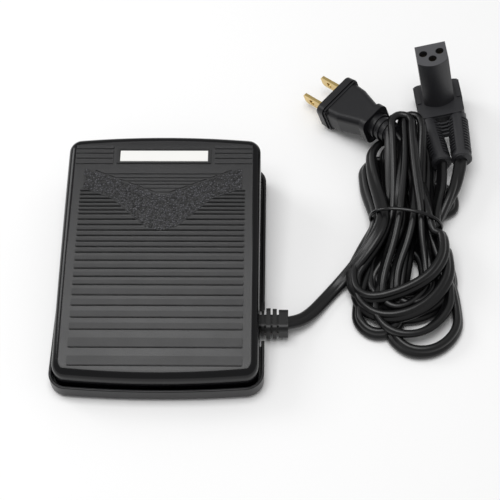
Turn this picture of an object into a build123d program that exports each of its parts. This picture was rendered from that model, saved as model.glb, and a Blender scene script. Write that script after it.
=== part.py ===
"""Foot pedal of a domestic sewing machine, with its cords, machine connector and mains plug.

Millimetres. X runs across the pedal, Y from the heel end to the toe end, Z up.
The origin is on the floor, under the middle of the base.
The cord leaves on the +X side, near the heel.
"""

from build123d import *
import math
import os

os.makedirs("parts", exist_ok=True)

# ---------------------------------------------------------------- driving dimensions

# Cover, measured over its bowed ends
cover_width = 88.0
cover_length = 118.0
heel_height = 16.3
toe_height = 33.5
crown = 1.3                # rise of the top line above a straight line, at mid length
end_bow = 2.2              # how far both ends bulge at their middle
cover_corner = 6.0
shoulder = 3.5
shell = 2.0

# Base
base_overhang = 2.3        # base beyond the cover, all round
base_corner = 8.3
base_bottom = 1.0          # the feet lift the base by this much
base_floor = 3.0           # top of the base's floor
rim_height = 8.2
rim_wall = 1.4
inner_wall_gap = 0.8       # between the cover's skirt and the base's inner wall
inner_wall_top = 14.0

# Press
press_angle = 4.5          # degrees
hinge_y = -47.0
hinge_z = 8.0
skirt_clearance = 0.6      # skirt above the base's floor

# Cord
cord_width = 6.2
cord_y = -26.0             # where the cord leaves
cord_z = 6.3

# ---------------------------------------------------------------- derived sizes

base_width = cover_width + 2 * base_overhang
base_length = cover_length + 2 * base_overhang
inner_wall_width = cover_width - 2 * (shell + inner_wall_gap)
inner_wall_length = cover_length - 2 * (shell + inner_wall_gap)
press_slope = math.tan(math.radians(press_angle))
cord_radius = cord_width / 2


def top_z(y):
    """Height of the cover's top line at y."""
    t = (y + cover_length / 2) / cover_length
    return heel_height + (toe_height - heel_height) * t + 4 * crown * t * (1 - t)


def top_plane(y):
    """Plane on the cover's top at x = 0, facing out of the surface."""
    step = 0.5
    slope = (top_z(y + step) - top_z(y - step)) / (2 * step)
    return Plane(origin=(0, y, top_z(y)), x_dir=(1, 0, 0), z_dir=(0, -slope, 1))


def plan(width, length, corner, bow=end_bow):
    """Rectangle with bowed ends and rounded corners; length is over the bows."""
    x, y = width / 2, length / 2 - bow
    with BuildSketch(mode=Mode.PRIVATE) as outline:
        with BuildLine():
            ThreePointArc((-x, -y), (0, -y - bow), (x, -y))
            Line((x, -y), (x, y))
            ThreePointArc((x, y), (0, y + bow), (-x, y))
            Line((-x, y), (-x, -y))
        make_face()
        fillet(outline.vertices(), corner)
    return outline.sketch


def side_profile(lift, low_heel, low_toe):
    """Side view of a body under the cover's top line, moved up by lift, on a plane left of the pedal."""
    reach = base_length / 2 + 2
    heel_top, mid_top, toe_top = (top_z(y) + lift for y in (-reach, 0, reach))
    with BuildSketch(Plane.YZ.offset(-base_width), mode=Mode.PRIVATE) as profile:
        with BuildLine():
            ThreePointArc((-reach, heel_top), (0, mid_top), (reach, toe_top))
            Polyline((reach, toe_top), (reach, low_toe), (hinge_y, low_heel), (-reach, low_heel), (-reach, heel_top))
        make_face()
    return profile.sketch


# ---------------------------------------------------------------- pedal cover

skirt_low_heel = base_floor + skirt_clearance
skirt_low_toe = skirt_low_heel + (base_length / 2 + 2 - hinge_y) * press_slope

# Inside of the cover, as a solid
with BuildPart() as cover_cavity:
    extrude(side_profile(-shell, -5, -5), amount=2 * base_width, dir=(1, 0, 0))
    with BuildSketch(Plane.XY.offset(-10)):
        add(plan(cover_width - 2 * shell, cover_length - 2 * shell, cover_corner - shell))
    extrude(amount=60, mode=Mode.INTERSECT)

# Tread bars: groups of (count, pitch, width), from the heel end towards the toe
bar_groups = [(2, 8.0, 4.2), (2, 5.4, 2.9), (2, 4.75, 2.9), (4, 3.75, 2.1), (7, 2.7, 1.5), (7, 1.95, 0.9)]
bar_start = -52.7
bar_half_length = 37.2
bar_rise = 0.8

# The smooth V is between two lines of slopes, cut out of the finer bars
vee_inner = (5.0, 9.2)     # corner of the flat bottom
vee_knee = (22.0, 24.8)
vee_outer = (38.0, 31.5)

with BuildPart() as tread_bars:
    extrude(side_profile(bar_rise, -5, -5), amount=2 * base_width, dir=(1, 0, 0))
    with BuildSketch():
        y = bar_start
        for count, pitch, width in bar_groups:
            for _ in range(count):
                with Locations((0, y + width / 2)):
                    Rectangle(2 * bar_half_length, width)
                y += pitch
        with BuildLine():
            Polyline(vee_inner, vee_knee, vee_outer, (vee_outer[0], 60), (-vee_outer[0], 60),
                     (-vee_outer[0], vee_outer[1]), (-vee_knee[0], vee_knee[1]), (-vee_inner[0], vee_inner[1]),
                     close=True)
        make_face(mode=Mode.SUBTRACT)
    extrude(amount=60, mode=Mode.INTERSECT)
    add(cover_cavity.part, mode=Mode.SUBTRACT)

# Features on the cover's underside
lug_x = 29.0
lug_width = 4.0
lug_radius = 4.0
shaft_radius = 1.5
running_gap = 0.05
spring_place = (27.0, 36.0)
spring_seat_z = 19.0
limit_place = (32.0, 12.0)
limit_boss_z = 17.0
plunger_place = (16.6, 25.0)
plunger_top = 24.0
pad_gap = 0.5
relief_neck_width = 6.6
plate_y = 47.2
plate_size = (40.0, 5.6, 0.6)
plate_recess_depth = 0.75

with BuildPart() as pedal_cover:
    extrude(side_profile(0, skirt_low_heel, skirt_low_toe), amount=2 * base_width, dir=(1, 0, 0))
    with BuildSketch():
        add(plan(cover_width, cover_length, cover_corner))
    extrude(amount=60, mode=Mode.INTERSECT)
    fillet(pedal_cover.faces().sort_by(Axis.Z)[-1].edges(), shoulder)
    add(tread_bars.part)
    add(cover_cavity.part, mode=Mode.SUBTRACT)
    # hinge lugs
    for side in (-1, 1):
        with BuildSketch(Plane.YZ.offset(side * lug_x - lug_width / 2)):
            with Locations((hinge_y, hinge_z)):
                Circle(lug_radius)
            with Locations((hinge_y, (hinge_z + 17.4) / 2)):
                Rectangle(2 * lug_radius, 17.4 - hinge_z)
        extrude(amount=lug_width)
    with BuildSketch(Plane.YZ):
        with Locations((hinge_y, hinge_z)):
            Circle(shaft_radius + running_gap)
    extrude(amount=lug_x + lug_width, both=True, mode=Mode.SUBTRACT)
    # spring columns, with a stub that centres each spring
    for side in (-1, 1):
        with BuildSketch(Plane.XY.offset(spring_seat_z)):
            with Locations((side * spring_place[0], spring_place[1])):
                Circle(6.0)
        extrude(amount=top_z(spring_place[1]) - shell / 2 - spring_seat_z)
        with BuildSketch(Plane.XY.offset(spring_seat_z - 4)):
            with Locations((side * spring_place[0], spring_place[1])):
                Circle(3.2)
        extrude(amount=4)
    # bosses for the limit screws
    for side in (-1, 1):
        with BuildSketch(Plane.XY.offset(limit_boss_z)):
            with Locations((side * limit_place[0], limit_place[1])):
                Circle(3.8)
                Circle(1.5, mode=Mode.SUBTRACT)
        extrude(amount=top_z(limit_place[1]) - shell / 2 - limit_boss_z)
    # pad that presses the plunger
    with BuildSketch(Plane.XY.offset(plunger_top + pad_gap)):
        with Locations(plunger_place):
            Circle(2.5)
    extrude(amount=top_z(plunger_place[1]) - shell / 2 - plunger_top - pad_gap)
    # notch in the skirt for the strain relief's neck
    with Locations((cover_width / 2 - shell / 2, cord_y, 6.4)):
        Box(2 * shell, relief_neck_width + 1.8, 12.8, mode=Mode.SUBTRACT)
    # recess for the name plate
    with BuildSketch(top_plane(plate_y)):
        Rectangle(plate_size[0] + 0.4, plate_size[1] + 0.4)
    extrude(amount=-plate_recess_depth, mode=Mode.SUBTRACT)

pedal_cover.part.label = "pedal_cover"
export_step(pedal_cover.part, "parts/pedal_cover.step")

with BuildPart() as name_plate:
    with BuildSketch(top_plane(plate_y).offset(-plate_recess_depth)):
        Rectangle(plate_size[0], plate_size[1])
    extrude(amount=plate_size[2])

name_plate.part.label = "name_plate"
export_step(name_plate.part, "parts/name_plate.step")

# ---------------------------------------------------------------- base tray

foot_radius = 6.0
foot_places = [(x, y) for x in (-36, 36) for y in (-49, 49)]
foot_recess = 0.8
alcove_face_x = cover_width / 2 + 0.2
alcove_length = 19.5
bearing_x = 36.0
bearing_width = 4.0
limit_head_radius = 2.7
limit_ceiling = (9.0, 11.0)
bumper_place = (20.0, 49.0)
bumper_seat_z = 19.5
board_size = (36.0, 48.0, 1.6)
board_center = (-7.5, 4.0)
board_z = 6.5
board_screw_inset = 3.5
clamp_x = 31.0
clamp_screw_reach = 7.0    # from the cord's axis to each clamp screw
clamp_z = 7.8
vent_count = 7
vent_pitch = 4.5

board_screw_places = [
    (board_center[0] + sx * (board_size[0] / 2 - board_screw_inset),
     board_center[1] + sy * (board_size[1] / 2 - board_screw_inset))
    for sx in (-1, 1) for sy in (-1, 1)
]
clamp_screw_places = [(clamp_x, cord_y + side * clamp_screw_reach) for side in (-1, 1)]

with BuildPart() as base_tray:
    with BuildSketch(Plane.XY.offset(base_bottom)):
        add(plan(base_width, base_length, base_corner))
    extrude(amount=rim_height - base_bottom)
    fillet(base_tray.faces().sort_by(Axis.Z)[0].edges(), 1.2)
    # the trough inside the rim
    with BuildSketch(Plane.XY.offset(base_floor)):
        add(plan(base_width - 2 * rim_wall, base_length - 2 * rim_wall, base_corner - rim_wall))
    extrude(amount=rim_height, mode=Mode.SUBTRACT)
    fillet(base_tray.faces().sort_by(Axis.Z)[-1].edges(), 0.5)
    # inner wall, inside the cover's skirt
    with BuildSketch(Plane.XY.offset(base_floor)):
        add(plan(inner_wall_width, inner_wall_length, 3.0))
        add(plan(inner_wall_width - 2 * rim_wall, inner_wall_length - 2 * rim_wall, 2.0), mode=Mode.SUBTRACT)
    extrude(amount=inner_wall_top - base_floor)
    # the inner wall is lower at the heel, under the low end of the cover
    with Locations((0, -inner_wall_length / 2, 12.5)):
        Box(inner_wall_width + 2, 30, 3.4, mode=Mode.SUBTRACT)
    # alcove in the rim where the cord leaves, and the slot that grips the strain relief
    with Locations((alcove_face_x + 5, cord_y, 5)):
        Box(10, alcove_length, 10, mode=Mode.SUBTRACT)
    with Locations((inner_wall_width / 2 - rim_wall / 2, cord_y, base_floor + 10)):
        Box(3 * rim_wall, relief_neck_width + 0.1, 20, mode=Mode.SUBTRACT)
    # bearing posts of the hinge shaft
    for side in (-1, 1):
        with BuildSketch(Plane.YZ.offset(side * bearing_x - bearing_width / 2)):
            with Locations((hinge_y, hinge_z)):
                Circle(3.6)
            with Locations((hinge_y, (hinge_z + base_floor - 0.5) / 2)):
                Rectangle(7.2, hinge_z - base_floor + 0.5)
            with Locations((hinge_y, hinge_z)):
                Circle(shaft_radius, mode=Mode.SUBTRACT)
        extrude(amount=bearing_width)
    # spring seats
    for side in (-1, 1):
        with BuildSketch(Plane.XY.offset(base_floor)):
            with Locations((side * spring_place[0], spring_place[1])):
                Circle(3.2)
        extrude(amount=3)
    # towers for the limit screws, each with a recess from below
    for side in (-1, 1):
        with BuildSketch(Plane.XY.offset(base_floor)):
            with Locations((side * limit_place[0], limit_place[1])):
                Circle(5.6)
        extrude(amount=limit_ceiling[1] - base_floor)
        with BuildSketch(Plane.XY):
            with Locations((side * limit_place[0], limit_place[1])):
                Circle(3.8)
        extrude(amount=limit_ceiling[0], mode=Mode.SUBTRACT)
        with BuildSketch(Plane.XY):
            with Locations((side * limit_place[0], limit_place[1])):
                Circle(2.4)
        extrude(amount=20, mode=Mode.SUBTRACT)
    # posts under the stop bumpers
    for side in (-1, 1):
        with BuildSketch(Plane.XY.offset(base_floor)):
            with Locations((side * bumper_place[0], bumper_place[1])):
                Circle(4.0)
        extrude(amount=bumper_seat_z - base_floor)
    # board pillars and clamp bosses
    for place in board_screw_places:
        with BuildSketch(Plane.XY.offset(base_floor)):
            with Locations(place):
                Circle(2.6)
                Circle(0.9, mode=Mode.SUBTRACT)
        extrude(amount=board_z - base_floor)
    for place in clamp_screw_places:
        with BuildSketch(Plane.XY.offset(base_floor)):
            with Locations(place):
                Circle(2.8)
                Circle(0.9, mode=Mode.SUBTRACT)
        extrude(amount=clamp_z - base_floor)
    # recesses for the feet
    with BuildSketch(Plane.XY.offset(base_bottom)):
        with Locations(*foot_places):
            Circle(foot_radius + 0.05)
    extrude(amount=foot_recess, mode=Mode.SUBTRACT)
    # vents under the heat sink
    with BuildSketch(Plane.XY):
        with Locations((board_center[0], 16)):
            with GridLocations(vent_pitch, 0, vent_count, 1):
                SlotOverall(12, 1.8, rotation=90)
    extrude(amount=base_floor + 1, mode=Mode.SUBTRACT)

base_tray.part.label = "base_tray"
export_step(base_tray.part, "parts/base_tray.step")

with BuildPart() as rubber_feet:
    with BuildSketch():
        with Locations(*foot_places):
            Circle(foot_radius)
    extrude(amount=base_bottom + foot_recess)
    chamfer(rubber_feet.faces().group_by(Axis.Z)[0].edges(), 0.3)

rubber_feet.part.label = "rubber_feet"
export_step(rubber_feet.part, "parts/rubber_feet.step")

with BuildPart() as stop_bumpers:
    with BuildSketch(Plane.XY.offset(bumper_seat_z)):
        with Locations(*[(side * bumper_place[0], bumper_place[1]) for side in (-1, 1)]):
            Circle(4.0)
    extrude(amount=2.6)
    fillet(stop_bumpers.faces().group_by(Axis.Z)[-1].edges(), 0.6)

stop_bumpers.part.label = "stop_bumpers"
export_step(stop_bumpers.part, "parts/stop_bumpers.step")

# ---------------------------------------------------------------- hinge, springs, limit screws

with BuildPart() as hinge_shaft:
    with BuildSketch(Plane.YZ):
        with Locations((hinge_y, hinge_z)):
            Circle(shaft_radius)
    extrude(amount=bearing_x + bearing_width / 2, both=True)

hinge_shaft.part.label = "hinge_shaft"
export_step(hinge_shaft.part, "parts/hinge_shaft.step")

clip_thickness = 0.7
with BuildPart() as hinge_clips:
    for side in (-1, 1):
        with BuildSketch(Plane.YZ.offset(side * (lug_x - lug_width / 2 - 0.6) - clip_thickness / 2)):
            with Locations((hinge_y, hinge_z)):
                Circle(3.0)
                Circle(shaft_radius, mode=Mode.SUBTRACT)
            with Locations((hinge_y - 2.4, hinge_z)):
                Rectangle(2.4, 1.6, mode=Mode.SUBTRACT)
        extrude(amount=clip_thickness)

hinge_clips.part.label = "hinge_clips"
export_step(hinge_clips.part, "parts/hinge_clips.step")


def coil_spring(place, low, high, coil_radius, wire_radius, turns):
    """Compression spring standing at place, from low to high."""
    rise = high - low - 2 * wire_radius
    with BuildPart() as spring:
        with BuildLine():
            coil = Helix(pitch=rise / turns, height=rise, radius=coil_radius,
                         center=(place[0], place[1], low + wire_radius))
        with BuildSketch(Plane(origin=coil @ 0, z_dir=coil % 0)):
            Circle(wire_radius)
        sweep(path=coil, is_frenet=True)
    return spring.part


for name, side in (("return_spring_left", -1), ("return_spring_right", 1)):
    return_spring = coil_spring((side * spring_place[0], spring_place[1]), base_floor, spring_seat_z, 4.4, 0.5, 7)
    return_spring.label = name
    export_step(return_spring, f"parts/{name}.step")

with BuildPart() as limit_screws:
    for side in (-1, 1):
        place = (side * limit_place[0], limit_place[1])
        with BuildSketch(Plane.XY.offset(limit_ceiling[0] - 0.1)):
            with Locations(place):
                Circle(1.5)
        extrude(amount=limit_boss_z + 6 - limit_ceiling[0])
        with BuildSketch(Plane.XY.offset(limit_ceiling[0] - 0.1)):
            with Locations(place):
                Circle(limit_head_radius)
        extrude(amount=-2.2)
        with BuildSketch(Plane.XY.offset(limit_ceiling[0] - 2.3)):
            with Locations(place):
                Rectangle(3.2, 0.7)
                Rectangle(0.7, 3.2)
        extrude(amount=1.2, mode=Mode.SUBTRACT)

limit_screws.part.label = "limit_screws"
export_step(limit_screws.part, "parts/limit_screws.step")

# ---------------------------------------------------------------- sliding resistor

guide_size = (12.0, 15.0)
guide_top = 13.0
guide_wall = 1.2
plunger_side = 5.0
plunger_bottom = 8.9
flange_z = 22.0

with BuildPart() as wiper_guide:
    with BuildSketch(Plane.XY.offset(base_floor)):
        with Locations(plunger_place):
            Rectangle(*guide_size)
    extrude(amount=guide_top - base_floor)
    with BuildSketch(Plane.XY.offset(base_floor)):
        with Locations(plunger_place):
            Rectangle(guide_size[0] - 2 * guide_wall, guide_size[1] - 2 * guide_wall)
    extrude(amount=guide_top - base_floor - guide_wall, mode=Mode.SUBTRACT)
    with BuildSketch(Plane.XY.offset(base_floor)):
        with Locations(plunger_place):
            Rectangle(plunger_side + 0.3, plunger_side + 0.3)
    extrude(amount=guide_top, mode=Mode.SUBTRACT)

wiper_guide.part.label = "wiper_guide"
export_step(wiper_guide.part, "parts/wiper_guide.step")

card_x = plunger_place[0] + guide_size[0] / 2 - guide_wall - 1.05
with BuildPart() as resistor_card:
    with Locations((card_x + 0.5, plunger_place[1], base_floor + 4.3)):
        Box(1.0, 12.0, 8.4)

resistor_card.part.label = "resistor_card"
export_step(resistor_card.part, "parts/resistor_card.step")

with BuildPart() as wiper_plunger:
    with BuildSketch(Plane.XY.offset(plunger_bottom)):
        with Locations(plunger_place):
            Rectangle(plunger_side, plunger_side)
    extrude(amount=plunger_top - 1 - plunger_bottom)
    with BuildSketch(Plane.XY.offset(flange_z)):
        with Locations(plunger_place):
            Circle(5.2)
    extrude(amount=1.2)
    with BuildSketch(Plane.XY.offset(flange_z)):
        with Locations(plunger_place):
            Circle(2.4)
    extrude(amount=plunger_top - flange_z)

wiper_plunger.part.label = "wiper_plunger"
export_step(wiper_plunger.part, "parts/wiper_plunger.step")

with BuildPart() as wiper_contact:
    leaf_x = plunger_place[0] + plunger_side / 2
    with BuildSketch(Plane.XZ.offset(-plunger_place[1] - 1.5)):
        with BuildLine():
            Polyline((leaf_x, 9.2), (leaf_x + 0.3, 9.2), (card_x - 0.1, 10.4), (card_x - 0.1, 10.8),
                     (leaf_x + 0.3, 11.6), (leaf_x, 11.6), close=True)
        make_face()
    extrude(amount=3.0)

wiper_contact.part.label = "wiper_contact"
export_step(wiper_contact.part, "parts/wiper_contact.step")

plunger_spring = coil_spring(plunger_place, guide_top, flange_z, 4.3, 0.3, 5)
plunger_spring.label = "plunger_spring"
export_step(plunger_spring, "parts/plunger_spring.step")

# ---------------------------------------------------------------- circuit board and its parts

board_top = board_z + board_size[2]

with BuildPart() as circuit_board:
    with BuildSketch(Plane.XY.offset(board_z)):
        with Locations(board_center):
            Rectangle(board_size[0], board_size[1])
        with Locations(*board_screw_places):
            Circle(1.3, mode=Mode.SUBTRACT)
    extrude(amount=board_size[2])

circuit_board.part.label = "circuit_board"
export_step(circuit_board.part, "parts/circuit_board.step")


def screw_group(name, places, seat_z, depth, shank, head, head_height):
    """Pan-head screws, cross-slotted, pointing down from seat_z."""
    with BuildPart() as screws:
        with BuildSketch(Plane.XY.offset(seat_z)):
            with Locations(*places):
                Circle(shank)
        extrude(amount=-depth)
        with BuildSketch(Plane.XY.offset(seat_z)):
            with Locations(*places):
                Circle(head)
        extrude(amount=head_height)
        with BuildSketch(Plane.XY.offset(seat_z + head_height)):
            with Locations(*places):
                Rectangle(1.4 * head, 0.5)
                Rectangle(0.5, 1.4 * head)
        extrude(amount=-0.6 * head_height, mode=Mode.SUBTRACT)
    screws.part.label = name
    export_step(screws.part, f"parts/{name}.step")


screw_group("board_screws", board_screw_places, board_top, 4.0, 0.9, 2.0, 1.4)

# Triac on its heat sink
sink_center = (-12.0, 16.5)
sink_size = (20.0, 1.6, 11.0)
with BuildPart() as heat_sink:
    with Locations((sink_center[0], sink_center[1], board_top + sink_size[2] / 2)):
        Box(*sink_size)
    for index in range(5):
        with Locations((sink_center[0] - 9.4 + 4.7 * index, sink_center[1] + 3.3, board_top + sink_size[2] / 2)):
            Box(1.2, 5.0, sink_size[2])

heat_sink.part.label = "heat_sink"
export_step(heat_sink.part, "parts/heat_sink.step")

triac_face_y = sink_center[1] - sink_size[1] / 2
with BuildPart() as triac:
    with Locations((sink_center[0], triac_face_y - 2.2, board_top + 4.6)):
        Box(10.0, 4.4, 6.8)
    with Locations((sink_center[0], triac_face_y - 0.6, board_top + 8.0)):
        Box(10.0, 1.2, 5.6)
    for index in (-1, 0, 1):
        with Locations((sink_center[0] + 2.54 * index, triac_face_y - 2.4, board_top + 0.8)):
            Box(0.8, 0.5, 1.6)

triac.part.label = "triac"
export_step(triac.part, "parts/triac.step")

with BuildPart() as triac_screw:
    with BuildSketch(Plane.XZ.offset(-triac_face_y + 1.2)):
        with Locations((sink_center[0], board_top + 9.4)):
            Circle(1.2)
    extrude(amount=0.9)

triac_screw.part.label = "triac_screw"
export_step(triac_screw.part, "parts/triac_screw.step")

# Choke: a ring core and its winding, with a gap in the turns
choke_center = (-15.5, -4.5)
choke_z = board_top + 4.6
with BuildPart() as choke_core:
    with BuildSketch(Plane.XY.offset(choke_z - 3.5)):
        with Locations(choke_center):
            Circle(7.0)
            Circle(4.0, mode=Mode.SUBTRACT)
    extrude(amount=7.0)

choke_core.part.label = "choke_core"
export_step(choke_core.part, "parts/choke_core.step")

turn_count = 14
with BuildPart() as choke_winding:
    for index in range(turn_count):
        turn_angle = 20 + index * 320 / turn_count
        turn_plane = Plane(origin=(choke_center[0], choke_center[1], choke_z),
                           x_dir=(math.cos(math.radians(turn_angle)), math.sin(math.radians(turn_angle)), 0),
                           z_dir=(math.sin(math.radians(turn_angle)), -math.cos(math.radians(turn_angle)), 0))
        with BuildSketch(turn_plane.offset(-0.5)):
            with Locations((5.5, 0)):
                Rectangle(5.0, 9.0)
                Rectangle(3.2, 7.2, mode=Mode.SUBTRACT)
        extrude(amount=1.0)

choke_winding.part.label = "choke_winding"
export_step(choke_winding.part, "parts/choke_winding.step")


def board_block(name, center, size, corner):
    """Moulded component that stands on the board."""
    with BuildPart() as block:
        with Locations((center[0], center[1], board_top + size[2] / 2)):
            Box(*size)
        fillet(block.edges().filter_by(Axis.Z), corner)
        fillet(block.faces().sort_by(Axis.Z)[-1].edges(), corner / 2)
    block.part.label = name
    export_step(block.part, f"parts/{name}.step")


board_block("suppression_capacitor", (4.0, -3.0), (6.0, 13.0, 10.5), 0.6)
board_block("timing_capacitor", (4.5, 9.6), (4.0, 7.2, 7.5), 1.2)

with BuildPart() as resistors:
    for index in range(4):
        with Locations((-4.5, -9.5 + 3.6 * index, board_top + 1.2)):
            Cylinder(1.1, 5.6, rotation=(0, 90, 0))

resistors.part.label = "resistors"
export_step(resistors.part, "parts/resistors.step")

with BuildPart() as trimmer:
    with Locations((-4.5, 7.4, board_top + 1.5)):
        Box(6.4, 6.4, 3.0)
    with Locations((-4.5, 7.4, board_top + 3.4)):
        Cylinder(2.2, 0.8)
    with Locations((-4.5, 7.4, board_top + 3.6)):
        Box(3.0, 0.7, 0.6, mode=Mode.SUBTRACT)

trimmer.part.label = "trimmer"
export_step(trimmer.part, "parts/trimmer.step")

with BuildPart() as fuse:
    with Locations((3.5, 18.5, board_top + 2.0)):
        Cylinder(1.9, 8.0, rotation=(0, 90, 0))

fuse.part.label = "fuse"
export_step(fuse.part, "parts/fuse.step")

terminal_center = (-1.5, -14.6)
terminal_size = (11.0, 8.0, 9.0)
terminal_places = [(terminal_center[0] + 2.6 * side, terminal_center[1]) for side in (-1, 1)]
terminal_mouth_z = board_top + 3.2
with BuildPart() as terminal_block:
    with Locations((terminal_center[0], terminal_center[1], board_top + terminal_size[2] / 2)):
        Box(*terminal_size)
    with BuildSketch(Plane.XY.offset(board_top + terminal_size[2])):
        with Locations(*terminal_places):
            Circle(1.9)
    extrude(amount=-5.5, mode=Mode.SUBTRACT)
    for place in terminal_places:
        with Locations((place[0], terminal_center[1] - terminal_size[1] / 2 + 2.5, terminal_mouth_z)):
            Cylinder(1.4, 5.0, rotation=(90, 0, 0), mode=Mode.SUBTRACT)

terminal_block.part.label = "terminal_block"
export_step(terminal_block.part, "parts/terminal_block.step")

with BuildPart() as terminal_screws:
    with BuildSketch(Plane.XY.offset(board_top + terminal_size[2] - 1.0)):
        with Locations(*terminal_places):
            Circle(1.8)
    extrude(amount=-4.4)
    with BuildSketch(Plane.XY.offset(board_top + terminal_size[2] - 1.0)):
        with Locations(*terminal_places):
            Rectangle(3.2, 0.6)
    extrude(amount=-0.8, mode=Mode.SUBTRACT)

terminal_screws.part.label = "terminal_screws"
export_step(terminal_screws.part, "parts/terminal_screws.step")

# ---------------------------------------------------------------- cord entry

relief_inner_face = 36.8
relief_end_x = 56.6
relief_plates = [(44.9, 46.1, 10.0), (47.0, 48.9, 12.0), (49.8, 51.6, 11.6), (52.5, relief_end_x, 11.0)]
relief_height = 10.0

with BuildPart() as strain_relief:
    with BuildSketch(Plane.YZ.offset(relief_inner_face)):
        with Locations((cord_y, cord_z)):
            RectangleRounded(relief_neck_width, 6.2, 1.2)
    extrude(amount=relief_end_x - relief_inner_face)
    with BuildSketch(Plane.YZ.offset(relief_inner_face)):
        with Locations((cord_y, cord_z + 0.2)):
            RectangleRounded(11.0, 6.8, 1.0)
    extrude(amount=inner_wall_width / 2 - rim_wall - relief_inner_face)
    for low_x, high_x, width in relief_plates:
        with BuildSketch(Plane.YZ.offset(low_x)):
            with Locations((cord_y, cord_z)):
                RectangleRounded(width, relief_height * width / 12, 2.4)
        extrude(amount=high_x - low_x)

strain_relief.part.label = "strain_relief"
export_step(strain_relief.part, "parts/strain_relief.step")

with BuildPart() as cord_clamp:
    with BuildSketch(Plane.XY.offset(clamp_z)):
        with Locations((clamp_x, cord_y)):
            RectangleRounded(5.6, 2 * clamp_screw_reach + 5.6, 1.5)
        with Locations(*clamp_screw_places):
            Circle(1.2, mode=Mode.SUBTRACT)
    extrude(amount=2.4)

cord_clamp.part.label = "cord_clamp"
export_step(cord_clamp.part, "parts/cord_clamp.step")

screw_group("clamp_screws", clamp_screw_places, clamp_z + 2.4, 6.0, 0.9, 2.0, 1.4)

wire_radius = 1.1
with BuildPart() as lead_wires:
    for side, place in ((-1, terminal_places[0]), (1, terminal_places[1])):
        start_y = cord_y + side * 1.3
        with BuildLine() as wire_route:
            FilletPolyline((relief_inner_face, start_y, cord_z), (24, start_y, cord_z),
                           (place[0] + 5, start_y - 2 * (1 - side), terminal_mouth_z),
                           (place[0], terminal_center[1] - terminal_size[1] / 2 - 4, terminal_mouth_z),
                           (place[0], terminal_center[1] - terminal_size[1] / 2 + 2, terminal_mouth_z), radius=2.5)
        with BuildSketch(Plane(origin=wire_route.line @ 0, z_dir=wire_route.line % 0)):
            Circle(wire_radius)
        sweep(path=wire_route.line)

lead_wires.part.label = "lead_wires"
export_step(lead_wires.part, "parts/lead_wires.step")

# ---------------------------------------------------------------- cords


def route_radii(points):
    """Bend radius at each corner: 0.45 of the shorter run over the tangent of half the turn."""
    corners = [Vector(*point) for point in points]
    radii = []
    for before, here, after in zip(corners, corners[1:], corners[2:]):
        run_in, run_out = here - before, after - here
        turn = math.radians(run_in.get_angle(run_out))
        radii.append(0.45 * min(run_in.length, run_out.length) / math.tan(turn / 2))
    return radii


def cord_tube(name, points):
    """Round tube along straight runs joined by tangent arcs; prints its radii, length and volume."""
    radii = route_radii(points)
    with BuildPart() as tube:
        with BuildLine() as route:
            FilletPolyline(*points, radius=radii)
        with BuildSketch(Plane(origin=route.line @ 0, z_dir=route.line % 0)):
            Circle(cord_radius)
        sweep(path=route.line)
    length = sum(edge.length for edge in route.edges())
    expected = math.pi * cord_radius ** 2 * length
    print(name, "radii", [round(radius, 1) for radius in radii], "length", round(length, 1),
          "volume ratio", round(tube.part.volume / expected, 4))
    tube.part.label = name
    export_step(tube.part, f"parts/{name}.step")


pedal_cord_points = [(relief_end_x, cord_y, cord_z), (63.0, -24.0, 5.4), (69.5, -18.6, 3.9), (77.5, -8.0, 3.4),
                     (86.0, 3.0, 3.8), (92.6, 12.8, 5.6), (96.5, 22.0, 7.0)]
cord_tube("pedal_cord", pedal_cord_points)

# The hank: both cords folded to and fro, wide at both ends and narrow at the tie
hank_height = 14.0
hank_outline = [(112, 86.5), (120, 86), (123.5, 76), (123, 60), (125.5, 45), (127.5, 31), (129.5, 18),
                (133, 4), (135.5, -10), (132.5, -28), (122, -40.5), (110, -40.5), (101, -32), (92, -31.5),
                (85.5, -20), (83.8, -6), (89.5, 8), (95.0, 20), (95.5, 30), (91.5, 42), (90.5, 56), (97, 70),
                (105, 80)]
with BuildPart() as cord_hank:
    with BuildSketch():
        with BuildLine():
            Spline(*hank_outline, periodic=True)
        make_face()
    extrude(amount=hank_height)
    fillet(cord_hank.faces().sort_by(Axis.Z)[-1].edges(), 3.0)

cord_hank.part.label = "cord_hank"
export_step(cord_hank.part, "parts/cord_hank.step")

tie_center = (111.4, 27.0)
tie_width = 35.0
tie_height = 18.4
tie_thickness = 1.0
with BuildPart() as cable_tie:
    with BuildSketch(Plane(origin=(tie_center[0], tie_center[1], tie_height / 2), x_dir=(1, -0.05, 0),
                           z_dir=(-0.05, -1, 0)).offset(-0.9)):
        RectangleRounded(tie_width, tie_height, 6.5)
        RectangleRounded(tie_width - 2 * tie_thickness, tie_height - 2 * tie_thickness, 5.5, mode=Mode.SUBTRACT)
    extrude(amount=1.8)

cable_tie.part.label = "cable_tie"
export_step(cable_tie.part, "parts/cable_tie.step")

# ---------------------------------------------------------------- machine connector

# Local frame: the nose stands along +Z from the top of the block, the tails run along -Y
connector_frame = Plane(origin=(130.2, 101.0, 12.6), x_dir=(0.976, 0.091, 0.198), z_dir=(-0.202, 0.039, 0.979))
nose_half_width = 7.3
nose_back = 7.2
nose_side = 4.2
nose_front = 7.4
nose_length = 28.4
block_half_width = 11.0
block_front = 13.0
block_back = 9.5
block_depth = 9.0
tail_start = (7.0, -12.0)
tail_end = (4.7, -40.0)
tail_z = -4.6
socket_places = [(-3.9, 1.6), (3.9, 1.6), (0.0, -2.4)]
socket_radius = 1.9

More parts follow.
